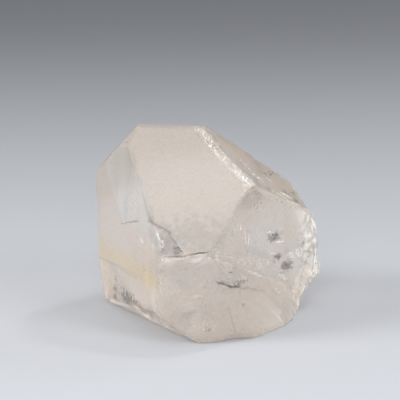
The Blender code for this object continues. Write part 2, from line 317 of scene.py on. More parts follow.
# Lines on the skin: the width, the depth and how dark it is, then the way it runs, in millimetres.
# Below zero, the depth is a raised seam's height and the darkness is how pale it is.
CRACKS = (
    (0.07, 0.10, 0.40, [
        (-7.0, -10.6, 11.6), (-5.8, -11.4, 11.7), (-3.2, -11.8, 11.55), (-1.3, -11.8, 11.8),
    ]),
    (0.09, 0.16, 0.95, [
        (-1.3, -11.8, 11.8), (-0.5, -11.8, 11.95), (0.3, -11.75, 12.05), (1.2, -11.7, 12.15),
    ]),
    (0.08, 0.10, 0.75, [(1.2, -11.7, 12.15), (2.4, -11.6, 12.4), (2.9, -11.2, 12.9)]),
    (0.07, 0.10, 0.45, [
        (-10.75, 0.2, 13.1), (-9.6, -1.6, 13.7), (-8.9, -2.8, 14.0), (-8.2, -4.0, 14.6),
    ]),
    (0.20, 0.10, 0.50, [
        (-6.67, -6.6, 15.2), (-6.0, -7.5, 15.1), (-5.2, -8.05, 14.85), (-3.9, -8.8, 14.2),
    ]),
    (0.15, 0.12, 0.25, [(-3.9, -8.8, 14.2), (-3.1, -10.2, 13.1), (-2.2, -11.5, 12.0)]),
    (0.12, 0.03, 0.25, [
        (-14.0, 9.3, 6.1), (-12.7, 5.9, 6.4), (-11.2, 1.9, 6.7), (-9.7, -1.9, 6.9), (-8.3, -5.3, 7.0),
    ]),
    (0.14, -0.10, -1.0, [(5.93, -4.94, 13.8), (5.94, -4.93, 11.9), (6.08, -4.73, 10.1)]),
    (0.11, -0.08, -1.0, [(6.61, -4.00, 13.3), (6.62, -3.99, 11.8), (6.63, -3.98, 10.3)]),
    (0.10, -0.06, -0.9, [(7.44, -2.85, 12.9), (7.43, -2.90, 11.35)]),
    (0.12, -0.06, -0.9, [
        (2.6, -10.3, 10.5), (3.9, -8.8, 9.8), (5.2, -6.8, 8.9), (6.6, -4.6, 7.8), (8.6, -2.0, 6.4),
        (11.0, 1.6, 4.6),
    ]),
    (0.08, 0.05, 0.50, [
        (1.9, -11.5, 8.5), (2.7, -11.2, 8.0), (3.9, -10.5, 7.3), (5.2, -9.2, 6.8), (6.9, -6.7, 6.1),
        (8.7, -3.7, 5.0),
    ]),
    (0.10, 0.06, 0.85, [(2.6, -11.25, 8.05), (3.9, -10.5, 7.3), (5.2, -9.3, 6.85)]),
    (0.08, -0.06, -0.8, [
        (13.4, 5.4, 11.0), (13.1, 5.0, 10.3), (13.6, 5.6, 9.4), (14.2, 6.2, 9.9), (14.0, 6.2, 10.7),
        (13.4, 5.4, 11.0),
    ]),
    (0.08, 0.08, 0.60, [(14.4, 5.9, 7.8), (15.0, 6.3, 7.7), (15.3, 6.4, 7.2), (14.8, 6.0, 7.1)]),
    (0.12, 0.10, 0.35, [(14.6, 5.8, 7.0), (14.3, 5.4, 5.7), (14.1, 5.1, 4.5), (13.8, 5.0, 3.4)]),
    (0.12, -0.09, -0.9, [(15.2, 6.6, 7.0), (14.9, 6.0, 5.7), (14.6, 5.6, 4.5)]),
    (0.10, 0.05, 0.15, [(3.6, -10.8, 4.6), (4.0, -10.7, 3.6), (4.3, -10.5, 2.5), (4.6, -10.2, 1.4)]),
    (0.09, -0.05, -0.6, [(-1.9, -11.9, 3.8), (-1.3, -11.9, 3.4), (-0.7, -11.8, 2.3)]),
    (0.08, -0.05, -0.6, [(0.0, -11.9, 2.6), (0.8, -11.9, 2.05), (1.7, -11.6, 1.7)]),
    (0.12, -0.05, -0.8, [(10.9, 4.7, 16.6), (12.4, 6.8, 15.5), (13.5, 8.2, 14.7)]),
)
CRACKS = [
    (width / 1000.0, depth / 1000.0, darkness, np.array(line) / 1000.0)
    for width, depth, darkness, line in CRACKS
]
# Marks in the skin where something lies just under it, besides a painted highlight on the bright bevel
# and painted shade on the underside at the lower left: what they look like, the middle and the half
# widths across and up in millimetres, how strong, how broken up, and how hackled.
MARKS = (
    ("dark", (10.1, 0.8, 11.35), (1.8, 0.62), 0.72, 1.3, 0.02),
    ("pale", (11.0, 2.1, 10.3), (1.3, 0.28), 1.0, 0.4, 0.06),
    ("pale", (10.6, 1.5, 12.1), (1.3, 0.20), 0.9, 0.4, 0.05),
    ("dark", (10.6, 1.5, 8.2), (1.5, 0.50), 0.74, 1.3, 0.02),
    ("dark", (11.75, 3.1, 6.5), (1.5, 0.70), 0.76, 1.3, 0.04),
    ("pale", (11.6, 2.9, 7.6), (0.9, 0.5), 1.0, 1.0, 0.06),
    ("pale", (12.9, 4.7, 7.6), (1.0, 0.7), 1.0, 0.8, 0.07),
    ("pale", (13.8, 5.7, 8.6), (0.7, 1.2), 1.0, 0.8, 0.07),
    ("pale", (9.0, -0.7, 9.6), (1.2, 1.0), 0.8, 1.2, 0.03),
    ("pale", (7.2, -3.1, 12.0), (2.2, 2.2), 0.6, 0.7, 0.01),
    ("pale", (4.3, -7.2, 14.4), (0.35, 0.3), 1.0, 0.4, 0.06),
    ("pale", (5.4, -5.7, 14.2), (0.30, 0.3), 1.0, 0.4, 0.05),
    ("blue", (8.5, -1.4, 11.8), (3.2, 2.2), 0.35, 0.6, 0.0),
    ("dark", (14.4, 6.4, 8.1), (0.5, 0.35), 0.50, 0.8, 0.0),
    ("grey", (-11.4, 2.8, 3.9), (5.6, 2.6), 0.80, 0.5, 0.0),
    ("brown", (-12.6, 5.8, 3.4), (3.4, 2.6), 0.25, 0.5, 0.0),
    ("dark", (-9.9, -1.2, 3.3), (2.5, 1.00), 0.95, 0.9, 0.03),
    ("dark", (-8.4, -5.1, 3.5), (1.9, 0.50), 0.80, 0.9, 0.02),
    ("dark", (-11.65, 3.3, 3.3), (0.75, 0.70), 0.75, 0.9, 0.02),
    ("dark", (-11.6, 3.4, 2.1), (0.60, 0.50), 0.75, 0.9, 0.02),
    ("pale", (-9.6, -2.0, 3.7), (1.4, 0.35), 0.7, 1.0, 0.04),
    # Painted shade on the underside of the lower left, where it overhangs the floor.
    ("brown", (-8.0, -5.6, 2.8), (3.4, 0.70), 0.70, 0.6, 0.0),
    ("grey", (-1.5, -11.7, 9.4), (5.5, 2.0), 0.60, 0.4, 0.0),
    ("dark", (-4.8, -10.7, 12.1), (0.5, 0.40), 0.30, 0.7, 0.0),
    ("dark", (-3.0, -11.4, 11.9), (0.5, 0.35), 0.65, 0.7, 0.0),
    ("grey", (-4.0, -10.2, 13.0), (1.9, 1.5), 0.80, 0.7, 0.0),
    ("grey", (-1.0, -9.6, 14.0), (5.0, 2.6), 0.68, 0.8, 0.0),
    ("pale", (-1.6, -10.6, 13.0), (1.6, 0.5), 0.6, 1.2, 0.0),
    ("grey", (-5.4, -8.5, 13.7), (1.9, 1.3), 0.55, 0.6, 0.0),
    ("pale", (-6.1, -8.4, 12.2), (1.3, 0.8), 0.7, 0.8, 0.03),
    ("dark", (-3.1, -10.8, 12.6), (0.45, 0.5), 0.65, 0.9, 0.0),
    ("pale", (-7.7, -5.6, 12.3), (0.9, 0.7), 0.9, 0.8, 0.06),
    ("dark", (2.7, -11.2, 8.05), (0.6, 0.28), 0.65, 0.6, 0.0),
    ("dark", (4.5, -10.0, 7.3), (1.5, 0.30), 0.75, 0.8, 0.03),
    ("grey", (4.6, -9.4, 7.9), (3.4, 1.2), 0.50, 1.0, 0.02),
    ("pale", (5.6, -8.6, 7.8), (1.6, 0.30), 0.7, 0.9, 0.04),
    ("dark", (5.6, -9.3, 4.6), (0.45, 0.14), 0.60, 0.4, 0.0),
    ("dark", (1.2, -11.8, 1.9), (0.25, 0.18), 0.50, 0.3, 0.0),
    ("blue", (-10.0, -0.4, 15.2), (0.9, 1.6), 0.80, 0.7, 0.0),
    ("dark", (-10.0, -0.2, 16.1), (0.16, 0.16), 0.50, 0.2, 0.0),
    ("brown", (3.4, 6.4, 23.5), (1.8, 0.70), 0.50, 0.8, 0.0),
    ("brown", (4.9, 7.6, 22.3), (1.8, 0.70), 0.55, 0.9, 0.02),
    ("brown", (6.4, 8.6, 21.0), (1.9, 0.75), 0.50, 0.9, 0.02),
    ("brown", (8.1, 9.7, 19.6), (1.9, 0.70), 0.40, 0.9, 0.0),
    ("pale", (6.7, 2.5, 20.1), (1.5, 0.75), 1.0, 1.0, 0.05),
    ("pale", (8.9, 4.4, 18.3), (1.9, 0.65), 0.9, 1.1, 0.04),
    ("grey", (8.0, 7.0, 19.4), (2.6, 0.9), 0.55, 1.1, 0.02),
    ("dark", (7.5, 0.9, 19.1), (0.8, 0.28), 0.85, 0.7, 0.03),
    ("dark", (9.2, 1.6, 17.7), (1.3, 0.22), 0.60, 0.9, 0.02),
    ("dark", (11.7, 6.8, 16.1), (0.9, 0.40), 0.85, 0.9, 0.03),
    ("pale", (11.6, 4.9, 16.0), (1.3, 0.35), 1.0, 0.9, 0.04),
    ("dark", (13.2, 6.9, 14.8), (1.1, 0.32), 0.75, 0.8, 0.02),
    # A painted highlight at the lower end of the bright bevel.
    ("pale", (6.3, -3.4, 19.7), (0.9, 0.9), 1.0, 0.5, 0.08),
    ("yellow", (-6.9, -8.8, 7.9), (2.4, 1.4), 0.60, 0.6, 0.0),
    ("yellow", (-9.6, -2.0, 8.4), (5.0, 1.5), 0.85, 0.7, 0.0),
    ("yellow", (-12.8, 6.0, 8.2), (4.2, 1.7), 0.70, 0.7, 0.0),
)
MARK_TINTS = {
    "dark": (0.20, 0.21, 0.22),
    "pale": (1.03, 1.10, 1.18),
    "blue": (0.90, 0.97, 1.10),
    "grey": (0.74, 0.76, 0.79),
    "brown": (0.82, 0.66, 0.48),
    "yellow": (1.03, 1.00, 0.80),
}
BEVEL_LINE = np.array([(0.3, 2.9, 25.2), (6.4, -3.4, 19.4)]) / 1000.0
BEVEL_REACH = 0.0009
CRACK_WANDER = 0.00016
CRACK_SPREAD = 2.2  # how many of its widths a crack is cut fine for, to each side
MARK_SPREAD = 1.2
# The longest edges of the skin on the bevel, in the marks and in the cracks.
BEVEL_EDGE = 0.00015
MARK_EDGE = 0.00018
CRACK_EDGE = 0.00011


def mark_reach(places, centre, across, up):
    """0 at a mark's middle and 1 at its rim, whichever way the skin faces there."""
    offset = places * 1000.0 - np.array(centre)
    level = np.hypot(offset[:, 0], offset[:, 1]) / across
    return np.hypot(level, offset[:, 2] / up)


def wanted_edge(places):
    """How fine the skin is cut: finest along the cracks."""
    longest = np.full(len(places), 2.0 * BODY_EDGE)
    longest[lengths(line_distance(places, BEVEL_LINE)) < BEVEL_REACH] = BEVEL_EDGE
    for width, _, _, line in CRACKS:
        away = lengths(line_distance(places, line))
        longest[away < CRACK_SPREAD * width + CRACK_WANDER] = CRACK_EDGE
    for kind, centre, (across, up), _, _, hackled in MARKS:
        if hackled or kind == "dark":
            close = mark_reach(places, centre, across, up) < MARK_SPREAD
            longest[close] = np.minimum(longest[close], MARK_EDGE)
    return longest


def touched(chosen):
    """The points of the chosen triangles."""
    points = np.zeros(len(skin), bool)
    points[body_triangles[chosen].ravel()] = True
    return points


skin, body_triangles = even_triangles(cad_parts["danburite_crystal"], BODY_EDGE)
skin, body_triangles = refined(skin, body_triangles, wanted_edge)
region = face_regions(skin, body_triangles)
ends = sides_of(body_triangles)
ends = np.concatenate([ends, ends[:, ::-1]])
neighbours = np.bincount(ends[:, 0])


def mean_of(values):
    """The mean of a value over the neighbours of each point."""
    sums = [np.bincount(ends[:, 0], column[ends[:, 1]]) for column in values.T]
    return np.stack(sums, axis=1) / neighbours[:, None]


# The breaks are conchoidal: their coarse solid form is eased, then rippled. The crystal faces,
# and every point shared with them, stay where the solid has them.
EASING_ROUNDS = 60
EASING_SHARES = (0.60, -0.62)  # in and out again, so that the form doesn't shrink
FRONT_TOP = 0.0122
FRONT_FOOT = 0.0052
FRONT_BEHIND = -0.009
FRONT_EDGE = -0.0116
FRONT_SWELL = 0.0010

on_break = ~touched(region != BROKEN)
below_top = (FRONT_TOP - skin[:, 2]) / (FRONT_TOP - FRONT_FOOT)
front = on_break & (below_top > 0.0) & (below_top < 1.0) & (skin[:, 1] < FRONT_BEHIND)
flush = FRONT_EDGE - FRONT_SWELL * below_top**1.5
skin[front, 1] = np.maximum(skin[front, 1], flush[front])
for _ in range(EASING_ROUNDS):
    for share in EASING_SHARES:
        skin[on_break] += share * (mean_of(skin) - skin)[on_break]

# Small swells and hollows of the outline: the middle and the reach in millimetres, and the shift
# there. The foot, on the ground, stays.
SWELLS = (
    ((-6.4, -8.8, 1.8), 2.9, (0.0, 0.0, 0.80)),
    ((-8.8, -3.6, 1.9), 2.0, (0.0, 0.0, 0.35)),
    ((15.3, 7.0, 4.4), 2.8, (0.50, -0.10, -0.10)),
    ((-14.3, 10.0, 16.0), 2.6, (-0.22, 0.0, 0.0)),
    ((6.2, -3.2, 20.1), 2.6, (0.62, 0.0, 0.05)),
)
FOOT_FADE = 0.0009


def ramp(values, start, reach):
    """0 where a value is under the start, 1 where it is past the reach, and even in between."""
    return np.clip((values - start) / reach, 0.0, 1.0)


for centre, reach, shift in SWELLS:
    away = lengths(skin * 1000.0 - np.array(centre))
    fall = np.exp(-((away / reach) ** 2)) * ramp(skin[:, 2], 0.0, FOOT_FADE)
    skin += fall[:, None] * np.array(shift) / 1000.0

# Every edge between two faces is a little worn, and the edges of the front break more so. The
# bright bevel keeps its edges.
EDGE_WEAR = (2, 8)  # how many points wide to each side, and how many rounds
BREAK_WEAR = (3, 12)
BREAK_WEAR_TOP = 0.0118

shared = np.zeros(len(skin), bool)
for number in range(BASE + 1):
    shared |= touched(region == number) & touched(region != number)
kept = touched(np.isin(region, [face_number("right_bevel"), face_number("left_bevel"), BASE]))


def widened(chosen, rounds):
    """The chosen points and their neighbours, as many times over as asked."""
    for _ in range(rounds):
        chosen = mean_of(chosen[:, None].astype(float))[:, 0] + chosen > 0
    return chosen


def worn(edge, width, rounds):
    """Wears the skin down along an edge."""
    chosen = widened(edge, width) & ~kept
    for _ in range(rounds):
        skin[chosen] = 0.5 * skin[chosen] + 0.5 * mean_of(skin)[chosen]


worn(shared, *EDGE_WEAR)
worn(shared & widened(on_break, 1) & (skin[:, 2] < BREAK_WEAR_TOP), *BREAK_WEAR)

# Ripples run over the breaks in rings round the place where the crystal was struck, and the right
# rim is hackled.
STRIKE = np.array([0.0035, -0.010, -0.006])
RIPPLE_PITCH = 0.0016
RIPPLE_HEIGHT = 0.000025
RIPPLE_WARP = ((0.005, 0.8, 1),)
BREAK_LUMPS = ((0.0022, 0.00006, 2), (0.0009, 0.00002, 3))
RIM_HACKLE = ((0.0010, 0.00018, 11), (0.0005, 0.00010, 12))
RIM_START = 0.0120
HACKLE_FADE = 0.0015

outward = np.zeros_like(skin)
flat_normals = unit_normals(skin, body_triangles)
for corner in range(3):
    np.add.at(outward, body_triangles[:, corner], flat_normals)
outward /= lengths(outward)[:, None]
struck_from = lengths(skin - STRIKE)
warp = layered_noise(skin, RIPPLE_WARP)
ripple = np.sin(math.tau * (struck_from / RIPPLE_PITCH + warp)) * RIPPLE_HEIGHT
lumps = layered_noise(skin, BREAK_LUMPS)
hackle = ramp(skin[:, 0], RIM_START, HACKLE_FADE) * layered_noise(skin, RIM_HACKLE)
skin[on_break] += (outward * (ripple + lumps + hackle)[:, None])[on_break]

# The faces are not perfectly flat either: the etched front dome is faintly pitted, the faces
# beside it are ribbed along their length, and the bright bevel is beaded as well.
PITS = ((0.0011, 0.00004, 4),)
RIBS = (  # the face, the way across its ribs, their pitch, their height and the seed
    ("left_step", CRYSTAL_B, 0.0011, 0.000022, 5),
    ("right_bevel", (0.55, 0.0, -0.83), 0.0009, 0.000022, 6),
    ("right_dome", (0.91, 0.0, -0.41), 0.0013, 0.000008, 9),
    ("back_right", (0.36, -0.93, 0.0), 0.0016, 0.000022, 7),
    ("back_left", (0.59, 0.81, 0.0), 0.0018, 0.000022, 8),
)
RIB_WARP = ((0.004, 1.5, 0),)
BEVEL_BEADS = ((0.0006, 0.00005, 13), (0.00032, 0.00003, 14))

from_centre = skin - CENTRE_HEIGHT * CRYSTAL_C


def relieve(name, height):
    """Moves the points that belong to one crystal face alone in or out along its normal."""
    number = face_number(name)
    inside = touched(region == number) & ~touched(region != number)
    skin[inside] += crystal_normal(*CRYSTAL_FACES[name][0]) * height[inside][:, None]


relieve("front_dome", -np.abs(layered_noise(skin, PITS)))
for ribbed, direction, pitch, height, seed in RIBS:
    across = from_centre @ np.array(direction)
    warp = layered_noise(skin, RIB_WARP, seed)
    relieve(ribbed, np.sin(math.tau * across / pitch + warp) * height)
relieve("right_bevel", layered_noise(skin, BEVEL_BEADS))

# The cracks are cut into the skin and the seams stand proud of it, wandering a little and ragged
# in width. The hackled marks are roughened.
CRACK_REACH = 0.0012
CRACK_WANDER_SIZE = 0.0013
CRACK_RAG = ((0.0006, 0.5, 20),)
SHADE_RAG = (0.6, 0.4)
SKIN_DEPTH = 0.0009
SEAM_BEADS = ((0.00035, 0.8, 200),)
MARK_OUTER = 1.5
MARK_HACKLE = ((0.00055, 1.0, 120), (0.0003, 0.6, 150))

crack_shade = np.zeros(len(skin))
seam_paleness = np.zeros(len(skin))
for number, (width, depth, darkness, line) in enumerate(CRACKS):
    near = np.flatnonzero(lengths(line_distance(skin, line)) < CRACK_REACH)
    places, facing = skin[near], outward[near]
    wander = [point_noise(places, CRACK_WANDER_SIZE, 40 + 3 * number + axis) for axis in range(3)]
    away = line_distance(places + np.stack(wander, axis=1) * CRACK_WANDER, line)
    off_skin = np.einsum("ij,ij->i", away, facing)
    sideways = lengths(away - off_skin[:, None] * facing)
    ragged = 1.0 + layered_noise(places, CRACK_RAG, number)
    fall = np.exp(-((sideways / (width * ragged)) ** 2)) * (np.abs(off_skin) < SKIN_DEPTH)
    beaded = 1.0 + layered_noise(places, SEAM_BEADS, number) * (depth < 0.0)
    skin[near] -= facing * (fall * depth * beaded)[:, None]
    shade = fall * darkness * (SHADE_RAG[0] + SHADE_RAG[1] * ragged)
    crack_shade[near] = np.maximum(crack_shade[near], shade)
    seam_paleness[near] = np.maximum(seam_paleness[near], -fall * darkness)
for number, (_, centre, (across, up), _, _, hackled) in enumerate(MARKS):
    reach = mark_reach(skin, centre, across, up)
    near = np.flatnonzero((reach < MARK_OUTER) & (hackled > 0.0))
    rough = layered_noise(skin[near], MARK_HACKLE, number)
    fade = np.clip(MARK_OUTER - reach[near], 0.0, 1.0)
    skin[near] += outward[near] * (fade * rough * hackled / 1000.0)[:, None]

# Fractures are thin gaps inside the crystal, as wide as a hair, which mirror light: the middle,
# the way the gap faces, the half widths along and across it in millimetres.
FRACTURES = (
    ((5.9, -3.7, 10.8), (0.93, 0.36, 0.05), (1.9, 0.9)),
    ((6.9, -2.6, 11.2), (0.88, 0.47, -0.04), (1.6, 0.7)),
    ((10.0, 1.6, 11.3), (0.30, 0.10, 0.95), (1.5, 0.8)),
    ((10.6, 2.6, 10.2), (0.05, 0.15, 0.98), (1.1, 0.8)),
    ((10.2, 2.1, 8.2), (0.25, -0.30, 0.92), (1.0, 0.9)),
    ((11.6, 4.0, 6.6), (-0.35, 0.25, 0.90), (1.3, 1.0)),
    ((12.6, 5.6, 8.9), (0.60, 0.55, 0.58), (1.1, 0.8)),
    ((13.6, 7.0, 6.8), (0.75, 0.10, 0.65), (1.4, 0.8)),
    ((13.4, 6.6, 11.4), (0.70, 0.60, -0.38), (1.2, 0.8)),
    ((8.4, -0.4, 7.4), (0.10, 0.35, 0.93), (1.8, 1.1)),
    ((4.8, -7.4, 6.9), (-0.10, 0.30, 0.95), (2.9, 1.4)),
    ((3.2, -8.6, 7.4), (0.15, 0.45, 0.88), (1.1, 0.7)),
    ((-4.0, -9.9, 11.6), (0.05, -0.30, 0.95), (2.8, 1.7)),
    ((0.4, -10.2, 11.9), (0.00, -0.22, 0.97), (1.9, 1.5)),
    ((-8.6, -2.6, 4.2), (0.30, 0.50, 0.81), (1.6, 0.9)),
    ((-10.0, 1.6, 6.3), (0.20, 0.15, 0.97), (3.2, 1.0)),
    ((-3.4, -2.0, 14.6), (0.50, 0.35, 0.79), (2.2, 1.2)),
    ((4.0, 4.0, 9.0), (0.45, 0.10, 0.88), (3.4, 2.2)),
    ((-2.0, 7.0, 8.0), (-0.30, 0.25, 0.92), (3.0, 2.4)),
)
GAP_WIDTH = 0.00003
GAP_WAVE = ((0.0013, 0.00016, 0),)
GAP_RAG = ((0.8, 0.30, 7),)
GAP_ALONG = ((0.31, 0.22, 0.92), (-0.80, 0.59, 0.0))  # for the steep ones and the level ones
GAP_LEVEL = 0.7
GAP_RINGS = 7
GAP_SECTORS = 26
GAP_FROST = 0.03
GAP_COVER = 0.00015
GAP_SHRINK = 0.85
GAP_TRIES = 12
GAP_PROBE = 4


def fracture(centre, facing, half_widths, seed):
    """Points and triangles of one gap, a ragged lens of nothing whose walls face into it."""
    facing = np.array(facing) / np.linalg.norm(facing)
    along = np.cross(facing, GAP_ALONG[int(abs(facing[2]) >= GAP_LEVEL)])
    along /= np.linalg.norm(along)
    across = np.cross(facing, along)
    turn = np.arange(GAP_SECTORS) * math.tau / GAP_SECTORS
    ring = np.repeat(np.arange(1, GAP_RINGS + 1) / GAP_RINGS, GAP_SECTORS)
    turn = np.tile(turn, GAP_RINGS)
    rim = np.column_stack([np.cos(turn), np.sin(turn), np.zeros(len(turn))])
    ragged = 1.0 + layered_noise(rim + seed * 3.0, GAP_RAG) * ring
    flat = np.concatenate([np.zeros((1, 2)), (ring * ragged)[:, None] * rim[:, :2]])
    ring = np.concatenate([[0.0], ring])
    sheet = flat[:, :1] * along * half_widths[0] + flat[:, 1:] * across * half_widths[1]
    sheet = (np.array(centre) + sheet) / 1000.0
    sheet = sheet + facing * layered_noise(sheet, GAP_WAVE, seed)[:, None]
    gap = facing * (np.sqrt(np.maximum(1.0 - ring**2, 0.0)) * GAP_WIDTH / 2)[:, None]
    inner = ring < 1.0
    points = np.concatenate([sheet + gap, (sheet - gap)[inner]])
    lower = np.arange(len(sheet))
    lower[inner] = len(sheet) + np.arange(inner.sum())
    faces = []
    for sector in range(GAP_SECTORS):
        a, b = 1 + sector, 1 + (sector + 1) % GAP_SECTORS
        faces.append((0, a, b))
        for _ in range(GAP_RINGS - 1):
            c, d = a + GAP_SECTORS, b + GAP_SECTORS
            faces += [(a, c, d), (a, d, b)]
            a, b = c, d
    faces = np.array(faces)
    return points, np.concatenate([faces[:, ::-1], lower[faces]])


def sunk(points):
    """How far inside the skin the shallowest of the points lies."""
    depths = []
    for point in points[::GAP_PROBE].tolist():
        on_skin, facing, _, _ = skin_tree.find_nearest(point)
        depths.append((on_skin - Vector(point)).dot(facing))
    return min(depths)


skin_tree = BVHTree.FromPolygons(skin.tolist(), body_triangles.tolist())
skin_triangles = len(body_triangles)
all_points, all_triangles = [skin], [body_triangles]
for number, (centre, facing, half_widths) in enumerate(FRACTURES):
    for _ in range(GAP_TRIES):
        gap_points, gap_triangles = fracture(centre, facing, half_widths, 100 + number)
        if sunk(gap_points) > GAP_COVER:
            break
        half_widths = [GAP_SHRINK * width for width in half_widths]
    all_triangles.append(gap_triangles + sum(len(points) for points in all_points))
    all_points.append(gap_points)
skin = np.concatenate(all_points)
body_triangles = np.concatenate(all_triangles)
region = np.append(region, np.full(len(body_triangles) - skin_triangles, FRACTURE))

# The underside stays a hair above the ground, so that light gets out between them.
LOWEST = 0.00006
skin[:, 2] = np.maximum(skin[:, 2], LOWEST)
body_mesh = bpy.data.meshes.new("crystal_body")
body_mesh.from_pydata(skin.tolist(), [], body_triangles.tolist())
body_mesh.validate()
body = put_in_scene("crystal_body", body_mesh)

# How frosted the skin is at each triangle. The lower right of the right prism and the rim beside
# it are clear, so that the fractures inside show.
CLEAR_FROST = 0.07
EDGE_FROST = 0.45
RIM_FROST = 0.10
RIM_FADE = 0.002
WINDOW_CENTRE = np.array([0.0112, 0.0022, 0.0085])
WINDOW_RADIUS = 0.0052
WINDOW_EDGE = 1.6  # how many radii out the window has faded away


def in_window(places):
    """1 well inside the clear window and 0 outside it."""
    away = lengths(places - WINDOW_CENTRE)
    return np.clip(WINDOW_EDGE - away / WINDOW_RADIUS, 0.0, 1.0)


face_frost = [frosted for _, _, frosted in CRYSTAL_FACES.values()]
frost = np.array(face_frost + [BROKEN_FROST, BASE_FROST, GAP_FROST])[region]
middles = skin[body_triangles].mean(axis=1)
rim = ramp(middles[:, 0], RIM_START, RIM_FADE) * (region == BROKEN)
at_edge = widened(shared, 1)[body_triangles[:skin_triangles]].any(axis=1)
worn_edge = np.append(at_edge, np.zeros(len(body_triangles) - skin_triangles, bool))
worn_edge &= ~np.isin(region, [face_number("right_bevel"), BROKEN])
frost[worn_edge] = np.maximum(frost[worn_edge], EDGE_FROST)
frost = frost + (CLEAR_FROST - frost) * in_window(middles)
frost = frost + (RIM_FROST - frost) * rim
frost[region == FRACTURE] = GAP_FROST
frost_layer = body.data.attributes.new("frost", "FLOAT", "FACE")
frost_layer.data.foreach_set("value", frost.astype(np.float32))

# Tints in the skin, each multiplied into the crystal's own colour: warm on the right dome, cool on the
# left step and in the clear window, and a yellow iron stain on the left, in a band above its wavering
# brown line. Some are painted light: a painted highlight whitens the rim and the bright bevel, and a
# band of painted shade runs along the left edge of the front dome.
FACE_TINTS = {
    "left_step": (0.97, 1.035, 1.06),
    "left_prism": (1.0, 0.985, 0.985),
    "right_dome": (0.93, 0.86, 0.75),
    # A painted highlight: the bright bevel's tint is a little lighter than the crystal's own colour.
    "right_bevel": (1.03, 1.03, 1.00),
}
LOW_STEP_TINT = (1.0, 0.98, 0.955)
STEP_TINT_RISE = (0.0124, 0.0020)
STEP_STREAKS = ((0.0045, 0.05, 17),)
STREAK_STRETCH = 0.12
NEAR_DOME_TINT = (1.0, 0.98, 0.95)
DOME_TINT_RISE = (0.0035, 0.0045)
# Painted shade: a darker band along the left edge of the front dome, which damps the highlight that its
# worn edge catches.
DOME_EDGE = np.array([(-9.64, 1.65, 23.4), (-7.93, -2.71, 19.42), (-6.4, -6.86, 15.51)]) / 1000.0
DOME_EDGE_SHADE_REACH = 0.00045
DOME_EDGE_PAINTED_SHADE = (0.68, 0.70, 0.68)
STAIN_LINE = [(-14.4, 10.1, 7.0), (-11.1, 1.6, 7.6), (-8.6, -4.9, 7.9), (-6.3, -10.8, 8.3)]
STAIN_LINE = np.array(STAIN_LINE) / 1000.0
STAIN_REACH = 0.0015
STAIN_TINT = (1.01, 0.975, 0.85)
WINDOW_TINT = (0.99, 1.03, 1.05)
# A painted highlight: the rim is tinted whiter and cooler.
RIM_HIGHLIGHT_TINT = (1.03, 1.10, 1.16)
CRACK_TINT = (0.20, 0.16, 0.12)
BAND_RAG = ((0.0016, 0.45, 31),)
BAND_EDGE = 1.25  # how many reaches out a band has faded away
MARK_SPECKLE = ((0.00050, 0.8, 60), (0.00028, 0.7, 90))
MARK_INNER = 1.4
MARK_END = (2.4, 1.6)  # leaves nothing of a mark past its outer reach
SHARP_ANGLE = math.radians(24)


def blended(colours, tint, share):
    """Each colour turned towards the tint by its own share."""
    return colours * (1.0 + (np.array(tint) - 1.0) * share[:, None])


def turned(first, second, share):
    """From the first tint to the second, by each share."""
    return np.outer(share, second) + np.outer(1.0 - share, first)


def soft_band(line, reach, number):
    """1 near a line on the body, falling to 0 at a ragged distance from it."""
    distance = lengths(line_distance(skin, line))
    ragged = 1.0 + layered_noise(skin, BAND_RAG, number)
    return np.clip(BAND_EDGE - distance / (reach * ragged), 0.0, 1.0)


point_tint = np.ones((len(skin), 3))
point_tint = blended(point_tint, STAIN_TINT, soft_band(STAIN_LINE, STAIN_REACH, 0))
# Painted shade along the left edge of the front dome.
point_tint = blended(point_tint, DOME_EDGE_PAINTED_SHADE, soft_band(DOME_EDGE, DOME_EDGE_SHADE_REACH, 1))
# Painted highlight on the rim.
point_tint = blended(point_tint, RIM_HIGHLIGHT_TINT, ramp(skin[:, 0], RIM_START, RIM_FADE))
point_tint = blended(point_tint, WINDOW_TINT, in_window(skin))
for number, (kind, centre, (across, up), strength, broken, _) in enumerate(MARKS):
    reach = mark_reach(skin, centre, across, up)
    near = np.flatnonzero(reach < MARK_OUTER)
    speckle = layered_noise(skin[near], MARK_SPECKLE, number)
    share = np.clip(MARK_INNER - reach[near] + broken * speckle, 0.0, 1.0)
    share *= np.clip(MARK_END[0] - MARK_END[1] * reach[near], 0.0, 1.0)
    point_tint[near] = blended(point_tint[near], MARK_TINTS[kind], share * strength)
for tint, share in ((MARK_TINTS["pale"], seam_paleness), (CRACK_TINT, crack_shade)):
    point_tint[: len(share)] = blended(point_tint[: len(share)], tint, share)

across_step = (skin - WINDOW_CENTRE) @ CRYSTAL_B
streaked = np.column_stack([across_step / STREAK_STRETCH, np.zeros(len(skin)), skin[:, 2]])
streaks = 1.0 + layered_noise(streaked, STEP_STREAKS)
corners = body_triangles.ravel()
corner_tint = point_tint[corners]
for name, tint in FACE_TINTS.items():
    on_face = np.repeat(region == face_number(name), 3)
    _, depth, height = skin[corners[on_face]].T
    if name == "left_step":
        tint = turned(LOW_STEP_TINT, tint, ramp(height, *STEP_TINT_RISE))
        tint = tint * streaks[corners[on_face]][:, None]
    if name == "right_dome":
        tint = turned(NEAR_DOME_TINT, tint, ramp(depth, *DOME_TINT_RISE))
    corner_tint[on_face] *= tint
corner_tint = np.column_stack([corner_tint, np.ones(len(corner_tint))])
tint_layer = body.data.attributes.new("tint", "FLOAT_COLOR", "CORNER")
tint_layer.data.foreach_set("color", corner_tint.astype(np.float32).ravel())
body.data.shade_smooth()
body.data.set_sharp_from_angle(angle=SHARP_ANGLE)

DANBURITE_IOR = 1.632
DANBURITE_COLOUR = (0.97, 0.905, 0.845, 1.0)
DANBURITE_THROUGH = 0.70  # the share of the light that goes through the skin
DEPTH_COLOUR = (0.95, 0.83, 0.68, 1.0)
DEPTH_DENSITY = 24.0
